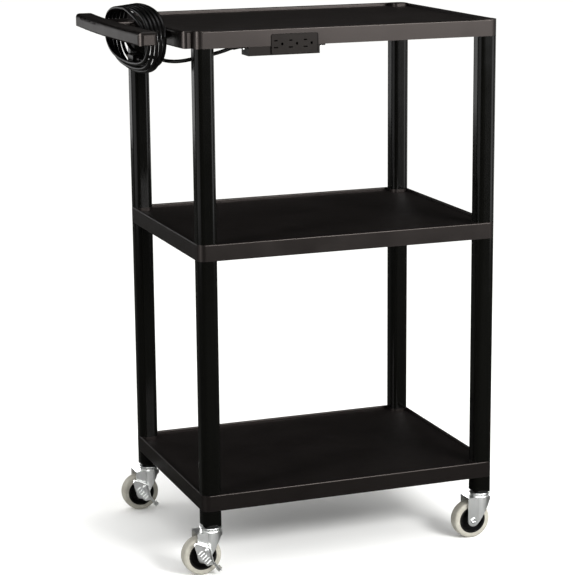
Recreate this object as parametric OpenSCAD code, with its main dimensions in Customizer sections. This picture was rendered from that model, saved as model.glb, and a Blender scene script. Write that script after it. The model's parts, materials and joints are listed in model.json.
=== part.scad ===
// Projector cart: three moulded tray shelves on square posts, a push handle with the mains lead wound on it,
// an outlet strip in the top shelf's front skirt, and four stem casters, two of them with a foot brake.
// Millimetres. +X runs along the shelves away from the handle, -Y is the front with the outlets, the floor is z = 0.

/* [Cart] */
// Length of each shelf, along X
shelf_l = 609.6; // [500:0.1:760]
// Width of each shelf, along Y
shelf_w = 457.2; // [440:0.1:600]
// Height of the top shelf's lip above the floor
top_z = 1041.4; // [900:0.1:1200]
// Height of the middle shelf's lip above the floor
middle_z = 647; // [400:1:800]
// Height of the bottom shelf's lip above the floor
bottom_z = 159.5; // [150:0.5:260]

/* [Shelf] */
// Height of a shelf, from the skirt's lower edge to the lip
shelf_h = 32; // [30:0.5:45]
// Corner radius of a shelf in plan
shelf_r = 14.5; // [13:0.5:20]
// Thickness of the skirt and the lip
rim_t = 5; // [4:0.1:6]
// Height of the retaining lip above the deck
lip_h = 6.35; // [4:0.05:9]
// Thickness of the deck
deck_t = 3.6; // [3:0.1:5]
// Thickness of the ribs under the deck
rib_t = 3; // [2:0.1:4]
// Depth of the ribs below the deck
rib_h = 15; // [8:0.5:18]
// Number of ribs that run across, along Y
ribs_across = 5; // [3:1:8]
// Number of ribs that run along, along X
ribs_along = 4; // [2:1:6]

/* [Posts] */
// Width of a square post
post_w = 38.1; // [34:0.1:42]
// Radius of a post's corners
post_r = 12.5; // [8:0.5:14]
// Wall of a post's tube
post_wall = 2.5; // [1.5:0.1:4]
// Distance from a shelf's outer face to a post's outer face
post_inset = 0.5; // [0.3:0.1:4]
// Length of the tenons that enter the shelves' corners
tenon_l = 14.5; // [8:0.5:14.5]
// Wall of the hollow tenons
tenon_wall = 3; // [2:0.1:5]
// Height of the caster legs under the bottom shelf
leg_h = 34; // [30:0.5:60]
// Radius of a caster leg's lower edge
leg_edge_r = 8; // [3:0.5:10]

/* [Handle] */
// Reach of the bar beyond the shelf's end
handle_reach = 113; // [106:0.5:150]
// Length of the bar, along Y
bar_l = 454; // [400:1:520]
// Width of the bar, along X
bar_w = 38; // [30:0.5:42]
// Depth of the bar
bar_h = 25; // [20:0.5:30]
// Height of the bar's crown above the shelf's lip
bar_rise = 3; // [0:0.5:8]
// Rise of the bow that the bar and the base follow in plan
bow = 8.5; // [4:0.5:20]
// Corner radius of the bar in plan
bar_r = 12; // [6:0.5:14]
// Radius of the bar's upper edges
bar_edge_r = 9; // [4:0.5:11]
// Distance between the outer faces of the two arms
arm_span = 236; // [180:1:240]
// Width of one arm
arm_w = 45; // [25:1:60]
// Depth of the arms
arm_h = 20.5; // [15:0.5:24]
// Radius of the arms' upper edges
arm_edge_r = 6; // [2:0.5:9]
// Radius of the blends inside the finger gap
gap_r = 12; // [4:0.5:16]
// Reach of the handle's base beyond the shelf's end
base_reach = 26; // [20:0.5:32]
// Length of the handle's base, along Y
base_l = 424; // [320:1:430]
// Radius of the base's upper edge
base_edge_r = 5; // [2:0.5:9]
// Wall of the hollow base
base_wall = 4.5; // [3:0.1:6]

/* [Casters] */
// Wheel diameter
wheel_d = 76; // [70:0.5:80]
// Width of the tyre
wheel_w = 25.2; // [20:0.2:27]
// Diameter of the hub that carries the tyre
hub_d = 55; // [45:0.5:60]
// Distance that the axle trails behind the swivel axis
trail = 20.5; // [15:0.5:26]
// Half of the width across the fork's legs
fork_half = 18.6; // [17.6:0.1:20]
// Thickness of the fork's sheet
fork_t = 2.6; // [2:0.1:3]
// Radius of the fork's ends round the axle
fork_end_r = 12; // [9:0.5:13]
// Diameter of the fork's round crown
crown_d = 44; // [42:0.5:50]
// Height of the crown's top above the floor
crown_z = 86; // [84:0.5:88]
// Diameter of the upper race
race_d = 43; // [40:0.5:46]
// Thickness of the upper race
race_t = 3; // [2:0.1:4]
// Diameter of the axle
axle_d = 8; // [6:0.1:10]
// Diameter of the king pin
pin_d = 10; // [8:0.1:12]
// Diameter of the stem in the leg
stem_d = 11; // [8:0.1:12]
// Length of the stem in the leg
stem_l = 38; // [20:1:42]
// Diameter of the bearing balls
ball_d = 4.8; // [4:0.1:5]
// Number of balls in a race
balls = 16; // [8:1:18]

/* [Brakes] */
// Thickness of the lever's sheet
lever_t = 2; // [1.5:0.1:2.5]
// Distance from the fork's leg to the lever
lever_gap = 4.2; // [3:0.1:6]
// Height of the lever's folded edge
flange_h = 4.5; // [2:0.5:6]
// Gap between the brake shoe and the tread when off
shoe_gap = 2.2; // [1.8:0.1:4]
// Width of the shoe over the tread
shoe_w = 15; // [8:0.5:20]
// Length of the shoe round the tread
shoe_l = 10; // [6:0.5:12]
// Diameter of the lever's pivot rivet
rivet_d = 6; // [4:0.1:7]

/* [Outlets] */
// Length of the outlet housing
housing_l = 140; // [125:0.5:160]
// Depth of the housing behind the skirt
housing_w = 36; // [30:0.5:45]
// Distance from the shelf's middle to the housing's middle
housing_x = 132; // [125:1:140]
// Distance that the housing hangs below the skirt
housing_drop = 17; // [12:0.5:22]
// Length of the outlet face
face_l = 93; // [88:0.5:100]
// Height of the outlet face
face_h = 37; // [34:0.5:38]
// Distance from the housing's right end to the face
face_end = 3.4; // [2:0.1:6]
// Distance that the face stands proud of the skirt
face_proud = 1.6; // [0.5:0.1:4]
// Spacing of the receptacles
outlet_pitch = 29; // [28:0.1:30]
// Spacing of a receptacle's two slots
slot_pitch = 12.7; // [12:0.1:14]
// Diameter of a ground hole
ground_d = 5.3; // [4.8:0.1:5.6]
// Length of the strain relief
relief_l = 21; // [20:0.5:24]

/* [Lead] */
// Diameter of the mains lead
cord_d = 7; // [6:0.1:7.1]
// Half of the coil's width across the handle
coil_a = 140.5; // [136:0.5:142]
// Half height of the coil above its middle, at the shelf
coil_up = 55.5; // [48:0.5:62]
// Half height of the coil below its middle, at its lowest turn
coil_low = 67; // [60:0.5:75]
// Distance from turn to turn, along X
coil_pitch = 7.55; // [7.52:0.01:7.6]
// Length of the plug's body
plug_l = 34; // [28:0.5:38]
// Width of the plug's body
plug_w = 22; // [20:0.5:24]
// Thickness of the plug's body
plug_h = 18; // [16:0.5:20]

/* [Hidden] */
$fn = 64;

// Shared clearances and overruns
cut = 1;                    // overrun of every cut
fit = 0.3;                  // gap between pieces that sit in each other
running = 0.06;             // radial gap of everything that turns
ease = 0.3;                 // arcs cross the faces that they round by this, and don't only touch them
bow_facets = 360;           // facets in a whole turn of the long bow

// Colours
black_skirt = "#3a3633";
black_gloss = "#141312";
zinc = "#c9cccc";
tyre_grey = "#dedbce";
hub_black = "#121212";
outlet_black = "#2b2828";
brass = "#b48a3c";

// Places that follow from the driving sizes
post_x = shelf_l / 2 - post_inset - post_w / 2;
post_y = shelf_w / 2 - post_inset - post_w / 2;
bore_w = post_w - 2 * post_wall;
bore_r = post_r - post_wall;
tenon_w = bore_w - 2 * fit;
tenon_r = bore_r - fit;
deck_z = -lip_h - deck_t;                        // underside of a deck, from the lip
leg_z = bottom_z - shelf_h - leg_h;              // foot of the caster legs
axle_z = wheel_d / 2;
lever_y = fork_half + lever_gap;                 // inner face of a brake lever, from the swivel axis
lever_reach = lever_y + lever_t + flange_h;
axle_head_t = 1.8;
axle_head_d = 12;
back_reach = max(shelf_w / 2, post_y + fork_half + axle_head_t);
front_reach = max(shelf_w / 2 + face_proud, post_y + lever_reach);

// The origin is the middle of the object's footprint, on the floor
module place() {
    translate([handle_reach / 2, (front_reach - back_reach) / 2, 0]) children();
}

// A corner: x and y are -1 or 1
module at_corner(x, y) {
    place() translate([x * post_x, y * post_y, 0]) children();
}

// Rectangle with round corners, about its centre
module rounded_plan(l, w, r) {
    square([l - 2 * r, w], center = true);
    square([l, w - 2 * r], center = true);
    for (x = [-1, 1], y = [-1, 1])
        translate([x * (l / 2 - r), y * (w / 2 - r)]) circle(r);
}

// Edge of a solid rail: x = 0 to d, y = 0 to h, rounded at the outer top and the outer bottom
module edge_profile(d, h, top_r, low_r) {
    square([d - low_r, h - top_r]);
    translate([0, low_r]) square([d, h - top_r - low_r]);
    translate([d - low_r, low_r]) circle(low_r);
    square([d - top_r, h]);
    translate([d - top_r, h - top_r]) circle(top_r);
}

// Shelves

// Section of the skirt and lip: outer face at x = 0, top of the lip at y = 0
module rim_profile() {
    translate([-rim_t, -shelf_h]) square([rim_t, shelf_h - rim_t / 2]);
    translate([-rim_t / 2, -rim_t / 2]) circle(d = rim_t);
}

// Straight stretch of rim, run along Y at the outer face x = reach
module rim_side(reach, run) {
    translate([reach, run / 2, 0]) rotate([90, 0, 0]) linear_extrude(run) rim_profile();
}

module rim() {
    for (a = [0, 180]) {
        rotate(a) rim_side(shelf_l / 2, shelf_w - 2 * shelf_r);
        rotate(a + 90) rim_side(shelf_w / 2, shelf_l - 2 * shelf_r);
    }
    for (corner = [[1, 1, 0], [-1, 1, 90], [-1, -1, 180], [1, -1, 270]])
        translate([corner[0] * (shelf_l / 2 - shelf_r), corner[1] * (shelf_w / 2 - shelf_r), 0])
            rotate(corner[2]) rotate_extrude(angle = 90) translate([shelf_r, 0]) rim_profile();
}

module ribs() {
    inner_l = shelf_l - rim_t;
    inner_w = shelf_w - rim_t;
    for (i = [1:ribs_across])
        translate([(i / (ribs_across + 1) - 0.5) * inner_l - rib_t / 2, -inner_w / 2, deck_z - rib_h])
            cube([rib_t, inner_w, rib_h + deck_t / 2]);
    for (i = [1:ribs_along])
        translate([-inner_l / 2, (i / (ribs_along + 1) - 0.5) * inner_w - rib_t / 2, deck_z - rib_h])
            cube([inner_l, rib_t, rib_h + deck_t / 2]);
}

// Socket for a tenon, from its mouth's side
module socket() {
    linear_extrude(tenon_l + fit + cut) rounded_plan(bore_w, bore_w, bore_r);
}

// One tray shelf with its lip at z = 0 and a socket under each corner. Carries says that posts stand on it too.
module shelf(carries) {
    difference() {
        union() {
            rim();
            translate([0, 0, deck_z]) linear_extrude(deck_t)
                rounded_plan(shelf_l - rim_t, shelf_w - rim_t, shelf_r - rim_t / 2);
            ribs();
            for (x = [-1, 1], y = [-1, 1]) translate([x * post_x, y * post_y, -shelf_h])
                linear_extrude(shelf_h) rounded_plan(post_w, post_w, post_r);
        }
        for (x = [-1, 1], y = [-1, 1]) translate([x * post_x, y * post_y, 0]) {
            translate([0, 0, -shelf_h - cut]) socket();
            if (carries) translate([0, 0, -tenon_l - fit]) socket();
        }
    }
}

// Handle: the bar, the arms and the base follow one long bow about a far centre
bow_r = (pow(bar_l / 2, 2) + pow(bow, 2)) / (2 * bow);     // radius of the bar's outer face
bow_x = bow_r - shelf_l / 2 - handle_reach;
base_face_r = bow_r - handle_reach + base_reach;
bar_low_r = 3;
arm_drop = 1;               // the arms lie this far below the lip
base_w = base_reach + rim_t / 2;
function bar_back_x(y) = bow_x - sqrt(pow(bow_r - bar_w, 2) - y * y);
function base_face_x(y) = bow_x - sqrt(base_face_r * base_face_r - y * y);

// What a rounded corner loses: the body fills x > 0 and y > 0
module corner_cut(r) {
    difference() {
        translate([-2 * cut, -2 * cut]) square(r + 2 * cut - ease);
        translate([r - ease, r - ease]) circle(r);
    }
}

// What a blend adds in an inner corner, with its arc away from the origin
module blend(r) {
    difference() {
        translate([-cut, -cut]) square(r + cut);
        translate([r, r]) circle(r + ease);
    }
}

// Rail that follows the bow: outer face at radius r, underside at z = 0
module bowed_rail(r, w, l, h, corner_r, top_r, low_r) {
    half = asin(l / 2 / r);
    translate([bow_x, 0, 0]) difference() {
        rotate(180 - half) rotate_extrude(angle = 2 * half, $fn = bow_facets) translate([r - w / 2, 0])
            for (m = [0, 1]) mirror([m, 0]) edge_profile(w / 2, h, top_r, low_r);
        for (m = [0, 1]) mirror([0, m, 0]) rotate(180 + half) {
            translate([0, 0, -cut]) linear_extrude(h + 2 * cut) {
                translate([r, 0]) rotate(180) corner_cut(corner_r);
                translate([r - w, 0]) mirror([0, 1]) corner_cut(corner_r);
            }
            translate([r - w - cut, 0, 0]) rotate([90, 0, 90]) linear_extrude(w + 2 * cut) {
                translate([0, h]) rotate(180) corner_cut(top_r);
                mirror([1, 0]) corner_cut(low_r);
            }
        }
    }
}

module arm() {
    from_x = bow_x - bow_r + bar_w / 2;
    to_x = bow_x - base_face_r + base_w / 2;
    inner_y = arm_span / 2 - arm_w;
    translate([from_x, inner_y + arm_w / 2, 0]) rotate([90, 0, 90]) linear_extrude(to_x - from_x)
        for (m = [0, 1]) mirror([m, 0]) edge_profile(arm_w / 2, arm_h, arm_edge_r, bar_low_r);
    linear_extrude(arm_h - arm_edge_r - cut) {
        translate([bar_back_x(inner_y), inner_y]) mirror([0, 1]) blend(gap_r);
        translate([base_face_x(inner_y), inner_y]) mirror([1, 0]) mirror([0, 1]) blend(gap_r);
    }
}

module handle() {
    translate([0, 0, bar_rise - bar_h]) bowed_rail(bow_r, bar_w, bar_l, bar_h, bar_r, bar_edge_r, bar_low_r);
    for (m = [0, 1]) mirror([0, m, 0]) translate([0, 0, -arm_h - arm_drop]) arm();
    difference() {
        translate([0, 0, -shelf_h])
            bowed_rail(base_face_r, base_w + bow, base_l, shelf_h, bar_r, base_edge_r, bar_low_r);
        translate([-shelf_l / 2 + rim_t / 2, -shelf_w / 2, -shelf_h - cut])
            cube([shelf_l, shelf_w, shelf_h + 2 * cut]);
        translate([0, 0, -shelf_h]) base_hollows();
    }
}

// Pockets under the base, with a web under each arm and one in the middle
module base_hollows() {
    hollow_h = shelf_h - base_wall;
    pocket_w = (base_l - 2 * bar_r - 5 * base_wall) / 4;
    intersection() {
        translate([bow_x, 0, -cut]) rotate(180 - 10) rotate_extrude(angle = 20, $fn = bow_facets)
            translate([base_face_r - base_w - bow, 0]) square([base_w + bow - base_wall, hollow_h + cut]);
        union() for (i = [0:3])
            translate([-shelf_l / 2 - base_reach, (i - 1.5) * (pocket_w + base_wall) - pocket_w / 2, -cut])
                cube([base_reach, pocket_w, hollow_h + cut]);
    }
}

// Outlet strip's places on the top shelf, from the shelf's middle
strip_x = -housing_x;
housing_x0 = strip_x - housing_l / 2;
housing_x1 = strip_x + housing_l / 2;
face_x = housing_x1 - face_end - face_l / 2;
skirt_back_y = -shelf_w / 2 + rim_t;
housing_y0 = skirt_back_y + fit;
housing_low_z = -shelf_h - housing_drop;
face_low_z = housing_low_z + face_end / 2;
face_top_z = face_low_z + face_h;
face_r = 4;
face_seat_z = face_low_z + face_h / 2;
ear_l = 12.5;
ear_t = 3;
ear_w = 14;
boss_w = 10;
screw_d = 3.4;
ear_y = skirt_back_y + ear_w / 2;
ear_xs = [housing_x0 - ear_l / 2, housing_x1 + ear_l / 2];
housing_top_z = deck_z - fit;

module outlet_cut() {
    // notch in the skirt, with round top corners
    notch_l = face_l + 2 * fit;
    notch_h = face_top_z + fit + shelf_h + cut;
    translate([face_x, skirt_back_y + cut, -shelf_h - cut]) rotate([90, 0, 0]) linear_extrude(rim_t + 2 * cut) {
        translate([-notch_l / 2, 0]) square([notch_l, notch_h - face_r]);
        translate([-notch_l / 2 + face_r, 0]) square([notch_l - 2 * face_r, notch_h]);
        for (x = [-1, 1]) translate([x * (notch_l / 2 - face_r), notch_h - face_r]) circle(face_r);
    }
    // room for the housing among the ribs
    translate([housing_x0 - fit - rib_t / 2, skirt_back_y, deck_z - shelf_h])
        cube([housing_l + 2 * fit + rib_t, housing_w + 2 * fit, shelf_h]);
}

module top_shelf() color(black_skirt) place() translate([0, 0, top_z]) {
    difference() {
        union() {
            shelf(false);
            for (x = ear_xs)
                translate([x - boss_w / 2, skirt_back_y - rim_t / 2, -shelf_h])
                    cube([boss_w, ear_w + rim_t / 2, shelf_h + deck_z + deck_t / 2]);
        }
        outlet_cut();
        for (x = ear_xs)
            translate([x, ear_y, -shelf_h - cut]) cylinder(d = screw_d + fit, h = boss_w + cut);
    }
    handle();
}

module middle_shelf() color(black_skirt) place() translate([0, 0, middle_z]) shelf(true);

module bottom_shelf() color(black_skirt) place() translate([0, 0, bottom_z]) shelf(true);

// Posts and legs

// Moulded tube with a hollow tenon at each end
module post(low_z, high_z) {
    tall = high_z - shelf_h - low_z;
    color(black_gloss) translate([0, 0, low_z]) difference() {
        union() {
            linear_extrude(tall) rounded_plan(post_w, post_w, post_r);
            translate([0, 0, -tenon_l]) linear_extrude(tall + 2 * tenon_l) rounded_plan(tenon_w, tenon_w, tenon_r);
        }
        translate([0, 0, tenon_wall]) linear_extrude(tall - 2 * tenon_wall) rounded_plan(bore_w, bore_w, bore_r);
        translate([0, 0, -tenon_l - cut]) linear_extrude(tall + 2 * tenon_l + 2 * cut)
            rounded_plan(tenon_w - 2 * tenon_wall, tenon_w - 2 * tenon_wall, tenon_r - tenon_wall);
    }
}

module upper_post(x, y) at_corner(x, y) post(middle_z, top_z);

module lower_post(x, y) at_corner(x, y) post(bottom_z, middle_z);

// Side view of a caster leg, rounded along its lower edge
module leg_side() {
    linear_extrude(2 * post_w, center = true)
        for (m = [0, 1]) mirror([m, 0]) translate([-leg_edge_r, 0]) {
            square([post_w / 2, leg_h]);
            translate([0, leg_edge_r]) square([post_w / 2 + leg_edge_r, leg_h]);
            translate([post_w / 2, leg_edge_r]) circle(leg_edge_r);
        }
}

module caster_leg(x, y) at_corner(x, y) color(black_gloss) translate([0, 0, leg_z]) difference() {
    union() {
        intersection() {
            linear_extrude(leg_h) rounded_plan(post_w, post_w, post_r);
            rotate([90, 0, 0]) leg_side();
            rotate([90, 0, 90]) leg_side();
        }
        translate([0, 0, leg_h - cut]) linear_extrude(tenon_l + cut) rounded_plan(tenon_w, tenon_w, tenon_r);
    }
    translate([0, 0, -cut]) cylinder(d = stem_d + fit, h = stem_l + fit + cut);
}

// Casters, about the swivel axis, with the wheel trailing towards -X

race_z = leg_z - race_t;                         // underside of the upper race
race_gap = 1.2;                                  // between the two races
lower_race_h = race_z - crown_z - race_gap;
race_ball_r = 15.5;
ball_z = (race_z + crown_z + lower_race_h) / 2;
groove_d = ball_d + 2 * fit / 2;
lower_race_r0 = 10;
lower_race_r1 = 20;
pin_head_d = 17;
pin_head_t = 2.2;

module groove() {
    translate([0, 0, ball_z]) rotate_extrude() translate([race_ball_r, 0]) circle(d = groove_d);
}

module stem(x, y) at_corner(x, y) color(zinc) difference() {
    union() {
        translate([0, 0, leg_z]) cylinder(d = stem_d, h = stem_l - stem_d / 4);
        translate([0, 0, leg_z + stem_l - stem_d / 4 - cut / 2])
            cylinder(d1 = stem_d, d2 = stem_d / 2, h = stem_d / 4);
        translate([0, 0, race_z]) rotate_extrude() edge_profile(race_d / 2, race_t, race_t / 3, race_t / 3);
        translate([0, 0, crown_z - fork_t - fit - pin_head_t])
            cylinder(d = pin_d, h = race_z - crown_z + fork_t + pin_head_t + 2 * fit);
        translate([0, 0, crown_z - fork_t - fit - pin_head_t])
            rotate_extrude() edge_profile(pin_head_d / 2, pin_head_t, pin_head_t / 4, pin_head_t / 2);
    }
    groove();
}

module ball_ring(x, y) at_corner(x, y) color(zinc)
    for (i = [0:balls - 1]) rotate(i * 360 / balls) translate([race_ball_r, 0, ball_z]) sphere(d = ball_d, $fn = 24);

// Outline of the fork's sheet from above, moved in by inset
module fork_plan(inset, tail) {
    circle(d = crown_d - 2 * inset);
    translate([-trail - fork_end_r - tail, -fork_half + inset])
        square([trail + fork_end_r + tail, 2 * (fork_half - inset)]);
}

hood_z = crown_z - 10;      // lower edge of the fork's hood at its front
hood_x = 15;                // where the slanting front edge meets the hood

end_steps = 18;             // steps round the fork's end

// Side view of the fork: round end at the axle, upright rear edge, slanting front edge
module fork_side() {
    reach = [hood_x + trail, hood_z - axle_z];
    turn = atan2(reach[1], reach[0]) - acos(fork_end_r / norm(reach));
    end = [for (i = [0:end_steps]) let (a = turn - (180 + turn) * i / end_steps)
        [-trail + fork_end_r * cos(a), axle_z + fork_end_r * sin(a)]];
    polygon(concat(end, [
        [-trail - fork_end_r, crown_z + cut],
        [crown_d / 2 + cut, crown_z + cut],
        [crown_d / 2 + cut, hood_z],
        [hood_x, hood_z]
    ]));
}

module fork(x, y, braked) at_corner(x, y) color(zinc) difference() {
    union() {
        intersection() {
            linear_extrude(crown_z) fork_plan(0, cut);
            rotate([90, 0, 0]) linear_extrude(2 * crown_d, center = true) fork_side();
        }
        translate([0, 0, crown_z - fork_t / 2]) rotate_extrude() translate([lower_race_r0, 0])
            edge_profile(lower_race_r1 - lower_race_r0, lower_race_h + fork_t / 2, fit, fit);
    }
    translate([0, 0, -cut]) linear_extrude(crown_z - fork_t + cut) fork_plan(fork_t, 2 * cut);
    groove();
    translate([0, 0, crown_z - fork_t - cut]) cylinder(r = pin_d / 2 + running, h = fork_t + lower_race_h + 2 * cut);
    translate([-trail, 0, axle_z]) rotate([90, 0, 0])
        cylinder(r = axle_d / 2 + running / 2, h = 2 * fork_half + 2 * cut, center = true);
    if (braked) translate([pivot_x, 0, pivot_z]) rotate([90, 0, 0])
        cylinder(r = rivet_d / 2 + running / 2, h = fork_half + cut);
}

module axle(x, y) at_corner(x, y) color(zinc) translate([-trail, 0, axle_z]) difference() {
    union() {
        rotate([90, 0, 0]) cylinder(d = axle_d, h = 2 * fork_half, center = true);
        for (a = [90, -90]) rotate([a, 0, 0]) translate([0, 0, fork_half])
            rotate_extrude() edge_profile(axle_head_d / 2, axle_head_t, axle_head_t / 2, 0.1 * axle_head_t);
    }
    for (a = [90, -90]) rotate([a, 0, 0]) translate([0, 0, fork_half])
        cylinder(d1 = axle_d / 2, d2 = axle_d, h = axle_head_t + fit / 2);
}

boss_d = 16;                // hub's boss round the axle
rim_depth = 3.5;            // thickness of the hub's rim under the tyre
web_t = 6;

// Half of the hub's section: x is the radius and y the distance along the axle
module hub_profile() {
    half_w = wheel_w / 2 - fit;
    boss_half = fork_half - fork_t - fit;
    bore = axle_d / 2 + running;
    translate([bore, -boss_half]) square([boss_d / 2 - bore, 2 * boss_half]);
    translate([bore, -web_t / 2]) square([hub_d / 2 - bore, web_t]);
    polygon([
        [hub_d / 2 - rim_depth, -half_w], [hub_d / 2, -half_w], [hub_d / 2, half_w],
        [hub_d / 2 - rim_depth, half_w], [hub_d / 2 - 2.5 * rim_depth, 0]
    ]);
    polygon([
        [boss_d / 2, -half_w * 0.8], [boss_d, -web_t / 2], [boss_d, web_t / 2], [boss_d / 2, half_w * 0.8]
    ]);
}

module hub(x, y) at_corner(x, y) color(hub_black)
    translate([-trail, 0, axle_z]) rotate([90, 0, 0]) rotate_extrude() hub_profile();

shoulder_r = 5.2;

module tyre(x, y) at_corner(x, y) color(tyre_grey)
    translate([-trail, 0, axle_z]) rotate([90, 0, 0]) rotate_extrude() intersection() {
        for (m = [0, 1]) mirror([0, m]) translate([hub_d / 2, 0]) rotate(90) mirror([0, 1])
            edge_profile(wheel_w / 2, (wheel_d - hub_d) / 2, shoulder_r, fit);
        translate([-wheel_d / 2, 0]) circle(wheel_d, $fn = 180);
    }

// Brake levers, seen from the front: x and z from the swivel axis and the floor

pivot_share = [-0.421, 1.382];
pivot_x = pivot_share[0] * wheel_d / 2;
pivot_z = pivot_share[1] * wheel_d / 2;
pivot_boss_d = 9;
flange_t = 1.6;
rivet_head_t = 1.9;
shoe_turn = 41.3;           // angle of the shoe below the axle's level
// Places in shares of the wheel's radius: along X from the swivel axis, and up from the floor
ridge_shares = [[-1.01, 1.84], [-0.3, 1.53], [-0.13, 0.84], [0.28, 0.3]];
pad_shares = [[-1.08, 1.72], [-0.93, 1.16], [-0.89, 1], [-0.4, 0.58], [-0.09, 0.61], [0.19, 0.2]];
rib_shares = [-0.76, 1.3];  // first grip rib
rib_step_shares = [0.11, -0.135];
rib_turn = 40;
rib_rows = 5;
rib_l = 11;
rib_w = 2.4;
rib_r = 1;

// Strip of sheet from p to q in side view
module strip(p, q, t) {
    along = q - p;
    translate(p) rotate(atan2(along[1], along[0])) translate([0, -t / 2]) square([norm(along), t]);
    for (end = [p, q]) translate(end) circle(d = t);
}

module brake_lever(x, y) at_corner(x, y) color(zinc) {
    ridge_points = ridge_shares * wheel_d / 2;
    pad_points = pad_shares * wheel_d / 2;
    difference() {
        union() {
            translate([0, -lever_y, 0]) rotate([90, 0, 0]) {
                linear_extrude(lever_t) polygon(concat(pad_points, [for (i = [3:-1:0]) ridge_points[i]]));
                linear_extrude(lever_t + flange_h)
                    for (i = [0:2]) strip(ridge_points[i], ridge_points[i + 1], flange_t);
                for (i = [0:rib_rows - 1])
                    translate([0, 0, lever_t / 2]) linear_extrude(lever_t / 2 + flange_t / 2)
                        translate((rib_shares + i * rib_step_shares) * wheel_d / 2) rotate(rib_turn)
                            rounded_plan(rib_l, rib_w, rib_r);
            }
            translate([pivot_x, -fork_half - fit, pivot_z]) rotate([90, 0, 0])
                cylinder(d = pivot_boss_d, h = lever_gap + lever_t / 2 - fit);
            translate([-trail, 0, axle_z]) rotate([0, shoe_turn, 0])
                translate([wheel_d / 2 + shoe_gap, -lever_y - lever_t / 2, -shoe_l / 2])
                    cube([lever_t, shoe_w + lever_t / 2, shoe_l]);
        }
        translate([pivot_x, -fork_half + cut, pivot_z]) rotate([90, 0, 0])
            cylinder(r = rivet_d / 2 + running, h = lever_reach);
    }
}

module brake_rivet(x, y) at_corner(x, y) color(zinc) translate([pivot_x, 0, pivot_z]) {
    inner = fork_half - fork_t;
    translate([0, -inner, 0]) rotate([90, 0, 0])
        cylinder(d = rivet_d, h = lever_y + lever_t + fit - inner + rivet_head_t / 2);
    translate([0, -inner, 0]) rotate([-90, 0, 0])
        rotate_extrude() edge_profile(rivet_d * 0.75, rivet_head_t * 0.7, rivet_head_t * 0.3, 0.1 * rivet_head_t);
    translate([0, -lever_y - lever_t - fit, 0]) rotate([90, 0, 0])
        rotate_extrude() edge_profile(rivet_d * 0.7, rivet_head_t, rivet_head_t / 2, 0.1 * rivet_head_t);
}

// Outlet strip

housing_wall = 2.5;
face_rim = 2;
face_rim_h = 0.8;
slot_short = 6.6;
slot_long = 8.2;
slot_h = 2.3;
ground_x = 12.4;            // from the slots' middle to the ground hole
first_outlet_x = 9.2;       // from the face's left edge to the first slots
relief_tilt = 12;
relief_y = housing_y0 + housing_w * 0.66;
relief_lift = 1.8;          // from the skirt's lower edge up to the strain relief's root
relief_z = -shelf_h + relief_lift;

module at_strip() place() translate([0, 0, top_z]) children();

module outlet_housing() color(outlet_black) at_strip() difference() {
    union() {
        translate([housing_x0, housing_y0, housing_low_z])
            cube([housing_l, housing_w - fit, housing_top_z - housing_low_z - ear_t]);
        translate([housing_x0, housing_y0 - rim_t * 0.7, housing_low_z])
            cube([housing_l, rim_t, housing_drop - fit]);
        for (x = [housing_x0 - ear_l, housing_x1 - fit]) translate([x, housing_y0, -shelf_h - ear_t])
            cube([ear_l + fit, ear_w - fit, ear_t]);
    }
    translate([face_x - face_l / 2 + housing_wall, housing_y0 - rim_t, face_low_z + housing_wall])
        cube([face_l - 2 * housing_wall, housing_w - housing_wall - fit + rim_t, face_h - 4 * housing_wall]);
    translate([face_x - face_l / 2 - fit / 2, housing_y0 - 2 * rim_t, face_low_z - fit / 2])
        cube([face_l + fit, 2 * rim_t, face_h + fit]);
    for (x = ear_xs)
        translate([x, ear_y, -shelf_h - ear_t - cut]) cylinder(d = screw_d + fit, h = ear_t + 2 * cut);
    at_relief() translate([0, 0, -relief_l / 2]) cylinder(d = relief_neck_d + fit, h = relief_l);
}

module face_plan(inset) rounded_plan(face_l - 2 * inset, face_h - 2 * inset, face_r - inset);

module ground_plan() intersection() {
    circle(d = ground_d);
    translate([-ground_d / 2, -ground_d / 2]) square([ground_d * 0.85, ground_d]);
}

// The holes of the three receptacles, in the face's own plane
module outlet_holes() {
    for (i = [0:2]) translate([-face_l / 2 + first_outlet_x + i * outlet_pitch, 0]) {
        translate([0, slot_pitch / 2]) square([slot_short, slot_h], center = true);
        translate([0, -slot_pitch / 2]) square([slot_long, slot_h], center = true);
        translate([ground_x, 0]) ground_plan();
    }
}

// Face: its plane is z = 0 of this frame, with the holes' middle line at y = 0
module at_face() at_strip() translate([face_x, -shelf_w / 2 - face_proud, face_seat_z]) rotate([90, 0, 0]) children();

face_depth = rim_t + face_proud + fit;

module outlet_face() color(outlet_black) at_face() difference() {
    union() {
        translate([0, 0, -face_depth]) linear_extrude(face_depth - face_rim_h) face_plan(0);
        translate([0, 0, -face_rim_h - fit]) linear_extrude(face_rim_h + fit) difference() {
            face_plan(face_rim_h / 2);
            translate([0, face_rim_h / 2]) face_plan(face_rim);
        }
    }
    translate([0, 0, -face_depth - cut]) linear_extrude(face_depth + 2 * cut) outlet_holes();
}

contact_l = 16;
contact_t = 0.8;

// Spring contacts behind the slots and ground holes, seated on the back of the face
module outlet_contacts() color(brass) at_face() translate([0, 0, -face_depth - contact_l]) linear_extrude(contact_l)
    for (i = [0:2]) translate([-face_l / 2 + first_outlet_x + i * outlet_pitch, 0]) {
        for (y = [-1, 1]) translate([0, y * slot_pitch / 2]) clip_plan(slot_long, slot_h);
        translate([ground_x, 0]) clip_plan(ground_d, ground_d);
    }

// U-shaped clip round a slot
module clip_plan(l, h) difference() {
    square([l + 2 * contact_t, h + 2 * contact_t], center = true);
    translate([contact_t, 0]) square([l + 2 * contact_t, h], center = true);
}

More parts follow.
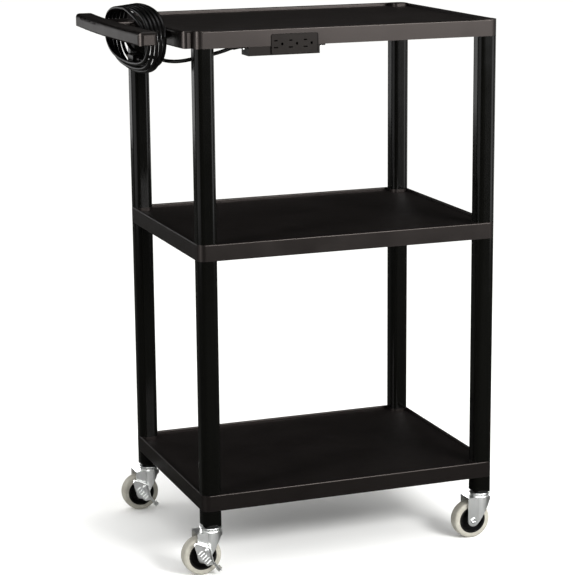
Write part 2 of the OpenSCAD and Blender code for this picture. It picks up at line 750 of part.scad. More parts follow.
module outlet_screws() color(zinc) at_strip()
    for (x = ear_xs) translate([x, ear_y, -shelf_h - ear_t]) {
        mirror([0, 0, 1]) rotate_extrude() edge_profile(screw_d, screw_d / 2, screw_d / 4, 0.1 * screw_d);
        cylinder(d = screw_d, h = ear_t + boss_w - fit);
    }

relief_neck_d = 8.4;
relief_base_d = 12;
relief_tip_d = 9;
relief_base_t = 3;
relief_base_z = 1.8;
relief_root_d = 10.8;

// Axis of the strain relief: its origin is in the housing's end wall and +Z points the way the lead leaves
module at_relief() translate([housing_x0, relief_y, relief_z]) rotate([0, -90 - relief_tilt, 0]) children();

module strain_relief() color(black_gloss) at_strip() at_relief() {
    translate([0, 0, relief_base_z]) rotate_extrude() edge_profile(relief_base_d / 2, relief_base_t, fit, fit);
    translate([0, 0, -housing_wall]) cylinder(d = relief_neck_d, h = relief_base_t + housing_wall);
    translate([0, 0, relief_base_z]) cylinder(d1 = relief_root_d, d2 = relief_tip_d, h = relief_l - relief_base_z);
}

// Mains lead

function unit(v) = v / norm(v);
function tangent(path, i) = unit(path[min(i + 1, len(path) - 1)] - path[max(i - 1, 0)]);
function ring(path, i, r, sides, side) =
    let (t = tangent(path, i), u = unit(side - (side * t) * t), v = cross(t, u))
    [for (k = [0:sides - 1]) path[i] + r * (cos(360 * k / sides) * u + sin(360 * k / sides) * v)];

// Tube of triangles along a path. Side is a direction that the path never takes.
module tube(path, d, sides, side) {
    last = len(path) - 1;
    points = [for (i = [0:last]) each ring(path, i, d / 2, sides, side)];
    walls = [for (i = [0:last - 1], k = [0:sides - 1])
        let (a = i * sides + k, b = i * sides + (k + 1) % sides)
        each [[a, b + sides, b], [a, a + sides, b + sides]]];
    near_end = [for (k = [1:sides - 2]) [0, k, k + 1]];
    far_end = [for (k = [1:sides - 2]) [last * sides, last * sides + k + 1, last * sides + k]];
    polyhedron(points, concat(walls, near_end, far_end));
}

// The coil's turns are rounded ovals about the handle's arms
coil_rings = 24;            // rings in one turn
coil_steps = 133;           // rings in the whole coil, which ends on top of its sixth turn
coil_sides = 6;
coil_start = 250;           // angle of the first ring, from the far side over the bottom
coil_clear = 8;             // from the far arm to the turns' far side
coil_y = arm_span / 2 + coil_clear + cord_d / 2 - coil_a;
coil_mid_z = -22.4;
coil_gap_x = 27.7;          // from the shelf's end to the first turn
coil_x = -shelf_l / 2 - coil_gap_x;
coil_up_loss = 5;           // the top is lower by this at the bar
coil_first_rise = 27;       // the first turn hangs less by this
coil_last_rise = 24;        // and the last turn by this
coil_lowest = 2.5;          // turns to the lowest one
side_share = 0.03;
crown_share = 0.04;

function coil_low_at(s) = coil_low - (s < coil_lowest ? coil_first_rise : coil_last_rise)
    * pow((s - coil_lowest) / (s < coil_lowest ? coil_lowest : coil_steps / coil_rings - coil_lowest), 2);
function coil_up_at(s) = coil_up - coil_up_loss * s * coil_rings / coil_steps;
function coil_point(s) = let (a = coil_start + 360 * s) [
    coil_x - coil_pitch * s,
    coil_y + coil_a * (cos(a) - side_share * cos(3 * a)) / (1 - side_share),
    coil_mid_z + (sin(a) > 0 ? coil_up_at(s) : coil_low_at(s)) * (sin(a) + crown_share * sin(3 * a)) / (1 - crown_share)
];
coil_turns = [for (i = [0:coil_steps]) coil_point(i / coil_rings)];
coil_first = coil_turns[0] - cord_d * unit(coil_turns[1] - coil_turns[0]);
coil_last = coil_turns[coil_steps] + cord_d * unit(coil_turns[coil_steps] - coil_turns[coil_steps - 1]);
coil_path = concat([coil_first], coil_turns, [coil_last]);

// Least gap of the coil to itself, measured between points half a turn or more apart
coil_fine = [for (i = [0:2 * coil_steps]) coil_point(i / coil_rings / 2)];
coil_gap = min([for (i = [0:2 * coil_steps - coil_rings], j = [i + coil_rings:2 * coil_steps])
    norm(coil_fine[i] - coil_fine[j])]) - cord_d;
echo(least_gap_of_coil_mm = coil_gap);

relief_axis = [-cos(relief_tilt), 0, -sin(relief_tilt)];
relief_tip = [housing_x0, relief_y, relief_z] + relief_l * relief_axis;
run_points = [
    [-237, -199.4, -38.6], [-250, -197.6, -42.4], [-261, -193, -45.6], [-272, -187, -48.6],
    [-284, -182.4, -51.6], [-297, -177.4, -54.8], [-309, -170, -57.6], [-319, -160, -59.4], [-326, -147, -60.2],
    [-330, -132, -60.6], [-331.8, -114, -60.6], [-332.3, -96, -60.3]
];
run_path = concat(
    [relief_tip, relief_tip + cord_d * relief_axis],
    run_points,
    [2 * coil_first - coil_turns[0], coil_first]
);
tail_points = [
    [-374.8, -42, 25], [-374.8, -66, 20.4], [-374.4, -90, 15], [-373, -111, 7.6], [-371.4, -126, -3],
    [-370, -133.6, -17], [-368.4, -134.6, -31], [-366.4, -130, -44.4], [-364, -119, -54.6],
    [-361.4, -105, -61], [-358.6, -89, -64.8], [-356, -73, -66.2]
];
plug_x = -353.2;
plug_y = -25;               // back of the plug's body
plug_z = -66.6;
boot_l = 20;
tail_path = concat(
    [coil_last, 2 * coil_last - coil_turns[coil_steps]],
    tail_points,
    [[plug_x, plug_y - boot_l - cord_d, plug_z], [plug_x, plug_y - boot_l, plug_z]]
);

module lead_run() color(black_gloss) at_strip() tube(run_path, cord_d, 8, [0, 0, 1]);

module lead_coil() color(black_gloss) at_strip() tube(coil_path, cord_d, coil_sides, [1, 0, 0]);

module lead_tail() color(black_gloss) at_strip() tube(tail_path, cord_d, 8, [1, 0, 0]);

// Plug, with its blades pointing along +Y
module at_plug() at_strip() translate([plug_x, plug_y, plug_z]) children();

boot_d = 9.5;
plug_edge_r = 5;
blade_l = 17;
blade_w = 6.35;
blade_t = 1.5;
blade_root = 6;             // how deep the blades go into the body
pin_l = 21;
ground_pin_d = 4.75;
ground_drop = 4;            // the two blades stand this far above the body's middle

module plug_body() color(black_gloss) at_plug() difference() {
    union() {
        rotate([-90, 0, 0]) linear_extrude(plug_l) rounded_plan(plug_w, plug_h, plug_edge_r);
        rotate([90, 0, 0]) cylinder(d1 = boot_d * 1.4, d2 = boot_d, h = boot_l);
    }
    translate([0, plug_l - blade_root, 0]) rotate([-90, 0, 0]) linear_extrude(blade_root + cut) blade_plan();
}

module blade_plan() {
    for (x = [-1, 1]) translate([x * slot_pitch / 2, -ground_drop + blade_w / 2])
        square([blade_t, blade_w], center = true);
    translate([0, ground_drop]) circle(d = ground_pin_d);
}

module plug_blades() color(brass) at_plug() translate([0, plug_l - blade_root, 0]) rotate([-90, 0, 0])
    linear_extrude(blade_root + blade_l) blade_plan();

top_shelf();
middle_shelf();
bottom_shelf();
upper_post(-1, -1);  // upper_post_fl
upper_post(1, -1);  // upper_post_fr
upper_post(1, 1);  // upper_post_br
upper_post(-1, 1);  // upper_post_bl
lower_post(-1, -1);  // lower_post_fl
lower_post(1, -1);  // lower_post_fr
lower_post(1, 1);  // lower_post_br
lower_post(-1, 1);  // lower_post_bl
caster_leg(-1, -1);  // caster_leg_fl
caster_leg(1, -1);  // caster_leg_fr
caster_leg(1, 1);  // caster_leg_br
caster_leg(-1, 1);  // caster_leg_bl
stem(-1, -1);  // stem_fl
stem(1, -1);  // stem_fr
stem(1, 1);  // stem_br
stem(-1, 1);  // stem_bl
ball_ring(-1, -1);  // balls_fl
ball_ring(1, -1);  // balls_fr
ball_ring(1, 1);  // balls_br
ball_ring(-1, 1);  // balls_bl
fork(-1, -1, true);  // fork_fl
fork(1, -1, false);  // fork_fr
fork(1, 1, false);  // fork_br
fork(-1, 1, true);  // fork_bl
axle(-1, -1);  // axle_fl
axle(1, -1);  // axle_fr
axle(1, 1);  // axle_br
axle(-1, 1);  // axle_bl
hub(-1, -1);  // hub_fl
hub(1, -1);  // hub_fr
hub(1, 1);  // hub_br
hub(-1, 1);  // hub_bl
tyre(-1, -1);  // tyre_fl
tyre(1, -1);  // tyre_fr
tyre(1, 1);  // tyre_br
tyre(-1, 1);  // tyre_bl
brake_lever(-1, -1);  // brake_lever_fl
brake_lever(-1, 1);  // brake_lever_bl
brake_rivet(-1, -1);  // brake_rivet_fl
brake_rivet(-1, 1);  // brake_rivet_bl
outlet_housing();
outlet_face();
outlet_contacts();
outlet_screws();
strain_relief();
lead_run();
lead_coil();
lead_tail();
plug_body();
plug_blades();
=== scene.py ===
# %% [markdown]
# # A projector cart, dressed on its solid model
# The real cart is black moulded plastic on square posts, with bright zinc casters and a mains lead wound on
# its handle. Its solids are already right, so this lesson is about light and surface: which finish each piece
# has, how the maker's process left it, and how a few nodes say so. The lead is the one piece made anew.

# %% Load the solids
import json
import math
import bpy
from mathutils import Matrix, Vector


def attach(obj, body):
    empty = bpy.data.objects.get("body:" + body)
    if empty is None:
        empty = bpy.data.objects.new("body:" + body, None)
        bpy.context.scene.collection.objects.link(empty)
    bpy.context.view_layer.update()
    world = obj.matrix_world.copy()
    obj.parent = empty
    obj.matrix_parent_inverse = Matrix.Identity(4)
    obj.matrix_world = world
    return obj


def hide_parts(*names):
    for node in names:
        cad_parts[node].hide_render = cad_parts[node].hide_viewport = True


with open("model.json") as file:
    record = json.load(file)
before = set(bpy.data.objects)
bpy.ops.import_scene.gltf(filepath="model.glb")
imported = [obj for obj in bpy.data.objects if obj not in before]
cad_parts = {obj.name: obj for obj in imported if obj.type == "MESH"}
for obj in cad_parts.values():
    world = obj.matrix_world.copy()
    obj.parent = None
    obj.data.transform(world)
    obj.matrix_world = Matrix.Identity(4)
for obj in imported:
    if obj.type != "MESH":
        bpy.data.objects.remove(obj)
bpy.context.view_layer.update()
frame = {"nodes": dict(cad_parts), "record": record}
nodes = frame["nodes"]

# %% [markdown]
# ## Camera
# The photograph was taken from the handle end, a little above the top shelf, with a long lens from about four
# metres. A long lens keeps the posts nearly parallel. The angles come from matching the shelf edges and the
# posts to the photograph, and they turn into a camera by three plain rotations.

# %% Camera
PHOTO_PX = 575
FOCAL_PX = 2016.3
PLACE = (-1.3666, -3.7112, 1.3820)
look_right, look_down, lean = (math.radians(a) for a in (20.336, 12.566, -0.509))

camera_data = bpy.data.cameras.new("photo_camera")
camera_data.sensor_width = 36
camera_data.lens = FOCAL_PX * camera_data.sensor_width / PHOTO_PX
camera_data.clip_end = 200
camera = bpy.data.objects.new("photo_camera", camera_data)
bpy.context.scene.collection.objects.link(camera)
turn = (Matrix.Rotation(-look_right, 4, "Z") @ Matrix.Rotation(math.pi / 2 - look_down, 4, "X")
        @ Matrix.Rotation(lean, 4, "Z"))
camera.matrix_world = Matrix.Translation(PLACE) @ turn
bpy.context.scene.camera = camera
print("lens mm:", round(camera_data.lens, 1))

# %% [markdown]
# ## The lead's route
# The real lead leaves a tapered strain relief, passes behind the post and is wound round the handle's two
# arms by hand, so its turns are ovals that lie side by side. A curve is the natural tool: one open spline
# through the route, with a round bevel for the jacket. The turns come from a formula, and the free stretches
# from a few points. Every length here is in millimetres from the top shelf's middle, as in the solid model.

# %% The turns
ORIGIN = Vector((56.5, 4.45, 1041.4))     # top shelf's middle, at the lip, in the cart's frame
LEAD_D = 7.0
TURN_RINGS, LAST_RING, START_ANGLE = 24, 133, 250
COIL_X, COIL_Y, COIL_Z, PITCH = -332.5, -11.0, -22.4, 7.55
HALF_WIDTH, UP, LOW = 140.5, 55.5, 67.0
LOWEST_TURN = 2.5                         # the turn that hangs lowest, counted from the first
RISE_BEFORE, RISE_AFTER = 27, 24          # how much higher the first and the last turn hang
TOP_LOSS = 5                              # how much lower the last turn's top lies than the first's
SIDE_FLATNESS, TOP_FULLNESS = 0.03, 0.04  # shares that turn the ellipse into the hand-wound oval


def turn_point(s):
    """Point of the winding after s turns."""
    a = math.radians(START_ANGLE + 360 * s)
    end = LAST_RING / TURN_RINGS
    rise, span = (RISE_BEFORE, LOWEST_TURN) if s < LOWEST_TURN else (RISE_AFTER, end - LOWEST_TURN)
    low = LOW - rise * ((s - LOWEST_TURN) / span) ** 2
    up = UP - TOP_LOSS * s / end
    wide = (math.cos(a) - SIDE_FLATNESS * math.cos(3 * a)) / (1 - SIDE_FLATNESS)
    high = (math.sin(a) + TOP_FULLNESS * math.sin(3 * a)) / (1 - TOP_FULLNESS)
    y = COIL_Y + HALF_WIDTH * wide
    z = COIL_Z + (up if math.sin(a) > 0 else low) * high
    return Vector((COIL_X - PITCH * s, y, z))


turns = [turn_point(i / TURN_RINGS) for i in range(LAST_RING + 1)]
lead_in = (turns[1] - turns[0]).normalized() * LEAD_D
lead_out = (turns[-1] - turns[-2]).normalized() * LEAD_D
FINER = 3                                 # the shown turns have this many times the solid's rings
fine_turns = [turn_point(i / (FINER * TURN_RINGS)) for i in range(FINER * LAST_RING + 1)]
print("winding mm:", round(sum((b - a).length for a, b in zip(fine_turns, fine_turns[1:]))))

# %% The free stretches
RELIEF_TILT, RELIEF_L = math.radians(12), 21
relief_axis = Vector((-math.cos(RELIEF_TILT), 0, -math.sin(RELIEF_TILT)))
relief_tip = Vector((-202, -199.54, -30.2)) + RELIEF_L * relief_axis
run = [relief_tip, relief_tip + LEAD_D * relief_axis] + [Vector(p) for p in (
    (-237, -199.4, -38.6), (-250, -197.6, -42.4), (-261, -193, -45.6), (-272, -187, -48.6),
    (-284, -182.4, -51.6), (-297, -177.4, -54.8), (-309, -170, -57.6), (-319, -160, -59.4),
    (-326, -147, -60.2), (-330, -132, -60.6), (-331.8, -114, -60.6), (-332.3, -96, -60.3),
)] + [turns[0] - 2 * lead_in, turns[0] - lead_in]
plug_back = Vector((-353.2, -45, -66.6))
tail = [turns[-1] + lead_out, turns[-1] + 2 * lead_out] + [Vector(p) for p in (
    (-374.8, -42, 25), (-374.8, -66, 20.4), (-374.4, -90, 15), (-373, -111, 7.6), (-371.4, -126, -3),
    (-370, -133.6, -17), (-368.4, -134.6, -31), (-366.4, -130, -44.4), (-364, -119, -54.6),
    (-361.4, -105, -61), (-358.6, -89, -64.8), (-356, -73, -66.2),
)] + [plug_back - Vector((0, LEAD_D, 0)), plug_back]


def smooth(points, steps=5):
    """Catmull-Rom curve through the points."""
    out = []
    for i in range(len(points) - 1):
        p0, p1, p2, p3 = (points[min(max(j, 0), len(points) - 1)] for j in range(i - 1, i + 3))
        for k in range(steps):
            t = k / steps
            out.append(0.5 * (2 * p1 + (p2 - p0) * t + (2 * p0 - 5 * p1 + 4 * p2 - p3) * t * t
                              + (3 * p1 - p0 - 3 * p2 + p3) * t ** 3))
    return out + [points[-1]]


route = [(p + ORIGIN) / 1000 for p in smooth(run)[:-1] + [turns[0] - lead_in] + fine_turns + smooth(tail)]

# %% The lead as one curve
lead_data = bpy.data.curves.new("mains_lead", "CURVE")
lead_data.dimensions = "3D"
lead_data.bevel_depth = 1      # times each point's radius, which keeps the curve's own box true
lead_data.bevel_resolution = 5
lead_data.use_fill_caps = True
spline = lead_data.splines.new("POLY")
spline.points.add(len(route) - 1)
for point, place in zip(spline.points, route):
    point.co = (*place, 1)
    point.radius = LEAD_D / 2000
spline.use_smooth = True
lead = bpy.data.objects.new("mains_lead", lead_data)
bpy.context.scene.collection.objects.link(lead)
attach(lead, "frame")
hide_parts("lead_run", "lead_coil", "lead_tail")

# %% [markdown]
# ## Colours and nodes
# Colours are picked as the usual six-digit screen values. The renderer works in linear light, so one function
# converts them. A second small helper adds a node, sets it and links it, which keeps each material readable
# as a list of what feeds what.

# %% Two helpers
def linear(hex_colour):
    """Linear colour for an sRGB value such as 'c9cccc'."""
    parts = [int(hex_colour[i:i + 2], 16) / 255 for i in (0, 2, 4)]
    return tuple(c / 12.92 if c <= 0.04045 else ((c + 0.055) / 1.055) ** 2.4 for c in parts) + (1,)


def add(tree, kind, links=None, **settings):
    """Add a node. Settings are its properties. Links give its inputs a value or another node's output."""
    node = tree.nodes.new(kind)
    for name, value in settings.items():
        setattr(node, name, value)
    for name, value in (links or {}).items():
        if isinstance(value, bpy.types.NodeSocket):
            tree.links.new(value, node.inputs[name])
        else:
            node.inputs[name].default_value = value
    return node


def material(name):
    """A new material with its tree, its main shader and the object's own coordinates."""
    mat = bpy.data.materials.new(name)
    mat.use_nodes = True
    tree = mat.node_tree
    place = add(tree, "ShaderNodeTexCoord").outputs["Object"]
    return mat, tree, tree.nodes["Principled BSDF"], place


def per_mm(size_mm):
    """Texture scale for a pattern that repeats every size_mm, in a scene in metres."""
    return 1000 / size_mm


# %% [markdown]
# ## Shelf plastic
# The shelves are injection-moulded polyethylene, black all through. The mould gives the decks a leathery
# grain about 1.6 mm across and leaves the skirts smoother, so light spreads into a soft grey band on the
# skirts and breaks up on the decks. The mix follows the surface's own direction: what faces up or down is
# grained. The skirts' gloss wanders a little, as the mould's polish does.

# %% Moulded polyethylene
DECK_DULLNESS = 0.16      # added to the roughness where the grain is


def moulded_polyethylene():
    mat, tree, shader, place = material("moulded_polyethylene")
    surface = add(tree, "ShaderNodeNewGeometry")
    facing = add(tree, "ShaderNodeSeparateXYZ", {"Vector": surface.outputs["Normal"]})
    up = facing.outputs["Z"]
    flat = add(tree, "ShaderNodeMath", {0: up, 1: up}, operation="MULTIPLY")
    deck = add(tree, "ShaderNodeMapRange", {"Value": flat.outputs[0], "From Min": 0.6, "From Max": 0.95})
    tint = add(tree, "ShaderNodeTexNoise", {"Vector": place, "Scale": per_mm(180), "Detail": 3})
    shade = add(tree, "ShaderNodeValToRGB", {"Fac": tint.outputs["Fac"]})
    shade.color_ramp.elements[0].color = linear("040303")
    shade.color_ramp.elements[1].color = linear("090707")
    tree.links.new(shade.outputs["Color"], shader.inputs["Base Color"])
    haze = add(tree, "ShaderNodeTexNoise",
               {"Vector": place, "Scale": per_mm(60), "Detail": 5, "Roughness": 0.6})
    gloss = add(tree, "ShaderNodeMapRange", {"Value": haze.outputs["Fac"], "To Min": 0.29, "To Max": 0.49})
    rough = add(tree, "ShaderNodeMath",
                {0: deck.outputs["Result"], 1: DECK_DULLNESS, 2: gloss.outputs["Result"]},
                operation="MULTIPLY_ADD")
    tree.links.new(rough.outputs[0], shader.inputs["Roughness"])
    grain = add(tree, "ShaderNodeTexVoronoi", {"Vector": place, "Scale": per_mm(1.6)}, feature="SMOOTH_F1")
    depth = add(tree, "ShaderNodeMapRange", {"Value": deck.outputs["Result"], "To Min": 0.04, "To Max": 0.35})
    bump = add(tree, "ShaderNodeBump",
               {"Height": grain.outputs["Distance"], "Strength": depth.outputs["Result"], "Distance": 0.0002})
    tree.links.new(bump.outputs["Normal"], shader.inputs["Normal"])
    shader.inputs["IOR"].default_value = 1.51
    shader.inputs["Specular IOR Level"].default_value = 0.42
    shader.inputs["Specular Tint"].default_value = linear("fff1ea")
    return mat


# %% [markdown]
# ## Post plastic
# The posts are extruded and glossy. The die draws hair-fine lines along them, which stretch each highlight
# into a long clean streak. A noise squeezed along the post's length draws those lines.

# %% Extruded gloss plastic
def extruded_gloss_plastic():
    mat, tree, shader, place = material("extruded_gloss_plastic")
    drawn = add(tree, "ShaderNodeMapping", {"Vector": place, "Scale": (per_mm(3), per_mm(3), per_mm(900))})
    lines = add(tree, "ShaderNodeTexNoise", {"Vector": drawn.outputs["Vector"], "Scale": 1, "Detail": 4})
    dust = add(tree, "ShaderNodeTexNoise",
               {"Vector": place, "Scale": per_mm(90), "Detail": 6, "Roughness": 0.65})
    rough = add(tree, "ShaderNodeMapRange", {"Value": dust.outputs["Fac"], "To Min": 0.10, "To Max": 0.24})
    tree.links.new(rough.outputs["Result"], shader.inputs["Roughness"])
    bump = add(tree, "ShaderNodeBump", {"Height": lines.outputs["Fac"], "Strength": 0.06, "Distance": 0.0004})
    tree.links.new(bump.outputs["Normal"], shader.inputs["Normal"])
    shader.inputs["Base Color"].default_value = linear("040403")
    shader.inputs["IOR"].default_value = 1.52
    shader.inputs["Specular IOR Level"].default_value = 0.3
    return mat


# %% [markdown]
# ## Zinc-plated steel
# Forks, levers and rivets are pressed from sheet and bright zinc plated. Zinc is a metal, so its colour is in
# its reflection. The rolled sheet shows a faint directional streak, and the plating a slight cloudiness.

# %% Zinc plate
def zinc_plate():
    mat, tree, shader, place = material("zinc_plate")
    clouds = add(tree, "ShaderNodeTexNoise", {"Vector": place, "Scale": per_mm(22), "Detail": 4})
    tone = add(tree, "ShaderNodeValToRGB", {"Fac": clouds.outputs["Fac"]})
    tone.color_ramp.elements[0].color = linear("cfd1d1")
    tone.color_ramp.elements[1].color = linear("e8e9e6")
    tree.links.new(tone.outputs["Color"], shader.inputs["Base Color"])
    rolled = add(tree, "ShaderNodeMapping",
                 {"Vector": place, "Scale": (per_mm(1.2), per_mm(1.2), per_mm(30))})
    streak = add(tree, "ShaderNodeTexNoise", {"Vector": rolled.outputs["Vector"], "Scale": 1, "Detail": 3})
    rough = add(tree, "ShaderNodeMapRange", {"Value": streak.outputs["Fac"], "To Min": 0.26, "To Max": 0.34})
    tree.links.new(rough.outputs["Result"], shader.inputs["Roughness"])
    bump = add(tree, "ShaderNodeBump",
               {"Height": streak.outputs["Fac"], "Strength": 0.03, "Distance": 0.00003})
    tree.links.new(bump.outputs["Normal"], shader.inputs["Normal"])
    shader.inputs["Metallic"].default_value = 1.0
    return mat


def polished_steel():
    mat, tree, shader, place = material("polished_steel")
    wear = add(tree, "ShaderNodeTexNoise", {"Vector": place, "Scale": per_mm(2), "Detail": 3})
    rough = add(tree, "ShaderNodeMapRange", {"Value": wear.outputs["Fac"], "To Min": 0.08, "To Max": 0.2})
    tree.links.new(rough.outputs["Result"], shader.inputs["Roughness"])
    shader.inputs["Base Color"].default_value = linear("cfd0d0")
    shader.inputs["Metallic"].default_value = 1.0
    return mat


def spring_brass():
    mat, tree, shader, place = material("spring_brass")
    tarnish = add(tree, "ShaderNodeTexNoise", {"Vector": place, "Scale": per_mm(6), "Detail": 4})
    tone = add(tree, "ShaderNodeValToRGB", {"Fac": tarnish.outputs["Fac"]})
    tone.color_ramp.elements[0].color = linear("a8843c")
    tone.color_ramp.elements[1].color = linear("cfae62")
    tree.links.new(tone.outputs["Color"], shader.inputs["Base Color"])
    rough = add(tree, "ShaderNodeMapRange", {"Value": tarnish.outputs["Fac"], "To Min": 0.22, "To Max": 0.4})
    tree.links.new(rough.outputs["Result"], shader.inputs["Roughness"])
    shader.inputs["Metallic"].default_value = 1.0
    return mat


# %% [markdown]
# ## Wheels
# The tyre is a grey-white thermoplastic rubber that doesn't mark floors. It is matte, a little uneven, and
# greyer where the tread has picked up dust. The hub inside it is black moulded nylon with a satin face.

# %% Tyre rubber and hub nylon
def non_marking_rubber():
    mat, tree, shader, place = material("non_marking_rubber")
    patch = add(tree, "ShaderNodeTexNoise",
                {"Vector": place, "Scale": per_mm(14), "Detail": 5, "Roughness": 0.6})
    tone = add(tree, "ShaderNodeValToRGB", {"Fac": patch.outputs["Fac"]})
    tone.color_ramp.elements[0].position = 0.3
    tone.color_ramp.elements[0].color = linear("8d8a80")
    tone.color_ramp.elements[1].position = 0.7
    tone.color_ramp.elements[1].color = linear("a3a095")
    tree.links.new(tone.outputs["Color"], shader.inputs["Base Color"])
    pores = add(tree, "ShaderNodeTexNoise", {"Vector": place, "Scale": per_mm(0.9), "Detail": 2})
    bump = add(tree, "ShaderNodeBump", {"Height": pores.outputs["Fac"], "Strength": 0.12, "Distance": 0.0002})
    tree.links.new(bump.outputs["Normal"], shader.inputs["Normal"])
    shader.inputs["Roughness"].default_value = 0.52
    shader.inputs["IOR"].default_value = 1.5
    return mat


def moulded_nylon():
    mat, tree, shader, place = material("moulded_nylon")
    grain = add(tree, "ShaderNodeTexNoise", {"Vector": place, "Scale": per_mm(0.8), "Detail": 2})
    cloud = add(tree, "ShaderNodeTexNoise", {"Vector": place, "Scale": per_mm(18), "Detail": 3})
    rough = add(tree, "ShaderNodeMapRange", {"Value": cloud.outputs["Fac"], "To Min": 0.34, "To Max": 0.5})
    tree.links.new(rough.outputs["Result"], shader.inputs["Roughness"])
    bump = add(tree, "ShaderNodeBump", {"Height": grain.outputs["Fac"], "Strength": 0.1, "Distance": 0.0001})
    tree.links.new(bump.outputs["Normal"], shader.inputs["Normal"])
    shader.inputs["Base Color"].default_value = linear("0b0a0a")
    shader.inputs["IOR"].default_value = 1.53
    return mat


# %% [markdown]
# ## Outlet strip and lead
# The strip is moulded ABS, a shade duller than the shelf, with a fine spark-eroded grain. The lead's jacket
# is soft vinyl: extruded, so smooth along its length, with a low sheen that shows each turn as a thin bright
# line.

# %% Grained plastic and vinyl
def grained_abs():
    mat, tree, shader, place = material("grained_abs")
    grain = add(tree, "ShaderNodeTexVoronoi", {"Vector": place, "Scale": per_mm(0.7)})
    bump = add(tree, "ShaderNodeBump",
               {"Height": grain.outputs["Distance"], "Strength": 0.15, "Distance": 0.0001})
    tree.links.new(bump.outputs["Normal"], shader.inputs["Normal"])
    cloud = add(tree, "ShaderNodeTexNoise", {"Vector": place, "Scale": per_mm(25), "Detail": 3})
    rough = add(tree, "ShaderNodeMapRange", {"Value": cloud.outputs["Fac"], "To Min": 0.3, "To Max": 0.44})
    tree.links.new(rough.outputs["Result"], shader.inputs["Roughness"])
    shader.inputs["Base Color"].default_value = linear("0a0807")
    shader.inputs["IOR"].default_value = 1.53
    shader.inputs["Specular IOR Level"].default_value = 0.15
    shader.inputs["Specular Tint"].default_value = linear("fff5ef")
    return mat


def vinyl_jacket():
    mat, tree, shader, place = material("vinyl_jacket")
    ripple = add(tree, "ShaderNodeTexNoise", {"Vector": place, "Scale": per_mm(5), "Detail": 3})
    bump = add(tree, "ShaderNodeBump", {"Height": ripple.outputs["Fac"], "Strength": 0.1, "Distance": 0.0003})
    tree.links.new(bump.outputs["Normal"], shader.inputs["Normal"])
    handled = add(tree, "ShaderNodeTexNoise", {"Vector": place, "Scale": per_mm(40), "Detail": 4})
    rough = add(tree, "ShaderNodeMapRange", {"Value": handled.outputs["Fac"], "To Min": 0.24, "To Max": 0.4})
    tree.links.new(rough.outputs["Result"], shader.inputs["Roughness"])
    shader.inputs["Base Color"].default_value = linear("060505")
    shader.inputs["IOR"].default_value = 1.54
    shader.inputs["Specular IOR Level"].default_value = 0.4
    return mat


# %% Give every piece its finish
finishes = {
    "shelf_plastic": moulded_polyethylene(), "post_plastic": extruded_gloss_plastic(), "zinc": zinc_plate(),
    "ball_steel": polished_steel(), "hub_plastic": moulded_nylon(), "tyre_rubber": non_marking_rubber(),
    "outlet_plastic": grained_abs(), "brass": spring_brass(), "cord_vinyl": vinyl_jacket(),
}
slot_of = {part["node"]: part["material_slot"] for part in frame["record"]["subparts"]}
for name, piece in nodes.items():
    piece.data.materials.clear()
    piece.data.materials.append(finishes[slot_of[name]])
lead.data.materials.append(finishes["cord_vinyl"])
print("finishes:", sorted(finishes))

# %% [markdown]
# ## Floor and surround
# The photograph is a catalogue cut-out on white. A pale matte floor that runs far back does the same and
# still grounds the wheels. Black plastic is drawn by what it reflects, and in the photograph it reflects a
# dark room. So floor and surround are bright to the camera and as soft light, and dim in a glossy reflection.

# %% Floor
floor_data = bpy.data.meshes.new("floor")
floor_data.from_pydata([(-40, -40, 0), (40, -40, 0), (40, 40, 0), (-40, 40, 0)], [], [(0, 1, 2, 3)])
floor = bpy.data.objects.new("floor", floor_data)
bpy.context.scene.collection.objects.link(floor)
floor_mat, floor_tree, floor_shader, _ = material("pale_floor")
ray = add(floor_tree, "ShaderNodeLightPath")
pale = add(floor_tree, "ShaderNodeValToRGB", {"Fac": ray.outputs["Is Glossy Ray"]})
pale.color_ramp.elements[0].color = linear("f8f8f6")
pale.color_ramp.elements[1].color = linear("3c3c3a")
floor_tree.links.new(pale.outputs["Color"], floor_shader.inputs["Base Color"])
floor_shader.inputs["Roughness"].default_value = 0.9
floor_shader.inputs["Specular IOR Level"].default_value = 0.0
floor.data.materials.append(floor_mat)

# %% Surround
world = bpy.data.worlds.new("studio")
bpy.context.scene.world = world
world.use_nodes = True
sky = world.node_tree
for node in list(sky.nodes):
    sky.nodes.remove(node)
path = add(sky, "ShaderNodeLightPath")
lit = add(sky, "ShaderNodeBackground", {"Color": linear("ffffff"), "Strength": 1.1})
reflected = add(sky, "ShaderNodeBackground", {"Color": linear("ffffff"), "Strength": 0.005})
glossy_ray = path.outputs["Is Glossy Ray"]
mix = add(sky, "ShaderNodeMixShader", {0: glossy_ray, 1: lit.outputs[0], 2: reflected.outputs[0]})
add(sky, "ShaderNodeOutputWorld", {"Surface": mix.outputs[0]})


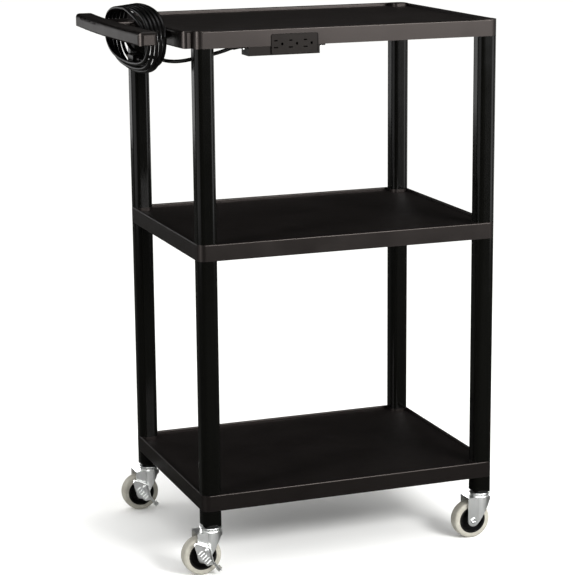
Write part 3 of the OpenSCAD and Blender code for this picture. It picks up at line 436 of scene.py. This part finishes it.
# %% [markdown]
# ## Softboxes
# The photograph is brightest on the top shelf's front and falls off towards the floor. A small key that
# stands in front of the top shelf, a little above it, gives that. The others are weak and only draw edges:
# panels left, right and behind put the streaks on the posts, a low panel at the front lights their right
# edges, and a panel overhead lifts the top deck.

# %% Softboxes
def softbox(name, place, aim, width, height, power):
    """A rectangular light at place, turned to aim."""
    data = bpy.data.lights.new(name, "AREA")
    data.shape = "RECTANGLE"
    data.size, data.size_y, data.energy = width, height, power
    box = bpy.data.objects.new(name, data)
    bpy.context.scene.collection.objects.link(box)
    box.location = place
    box.rotation_euler = (Vector(aim) - Vector(place)).to_track_quat("-Z", "Y").to_euler()
    return box


softbox("key", (1.0, -2.4, 1.62), (0.1, -0.2, 1.0), 1.1, 0.6, 86)
softbox("left_panel", (-2.4, -0.3, 1.1), (0, 0, 0.9), 2.8, 1.8, 13)
softbox("back_left", (-1.4, 2.5, 1.0), (-0.2, 0, 0.8), 1.4, 1.2, 5)
softbox("front_right", (1.9, -1.7, 0.75), (0, 0, 0.75), 1.3, 1.1, 8)
softbox("right_panel", (2.5, 0.6, 1.1), (0, 0, 0.9), 1.6, 1.8, 7)
softbox("top", (0.0, 0.3, 2.6), (0, 0, 1.0), 1.6, 1.2, 6)

# %% [markdown]
# ## Lights for one kind of piece
# Zinc has no colour of its own: it shows what stands round it, and the dim surround that keeps the plastic
# deep black would leave it grey. A photographer stands white cards by the casters, and a narrow strip by the
# shelves' front left corners. Light linking does the same: the cards reach the bright metal and the strip the
# shelves, and nothing else.

# %% Cards and corner strip
def only_for(light, *slots):
    """Let a light reach the pieces with these material slots alone."""
    group = bpy.data.collections.new(light.name + "_reaches")
    for name, piece in nodes.items():
        if slot_of[name] in slots:
            group.objects.link(piece)
    light.light_linking.receiver_collection = group


for name, side in (("card_front", -1), ("card_back", 1)):
    only_for(softbox(name, (0, 1.5 * side, 0.45), (0, 0, 0.08), 3.2, 1.1, 90), "zinc", "ball_steel")
only_for(softbox("corner_strip", (-2.4, -1.1, 1.2), (-0.2, -0.2, 0.95), 0.5, 0.8, 45), "shelf_plastic")

# %% Look
bpy.context.scene.view_settings.view_transform = "Standard"
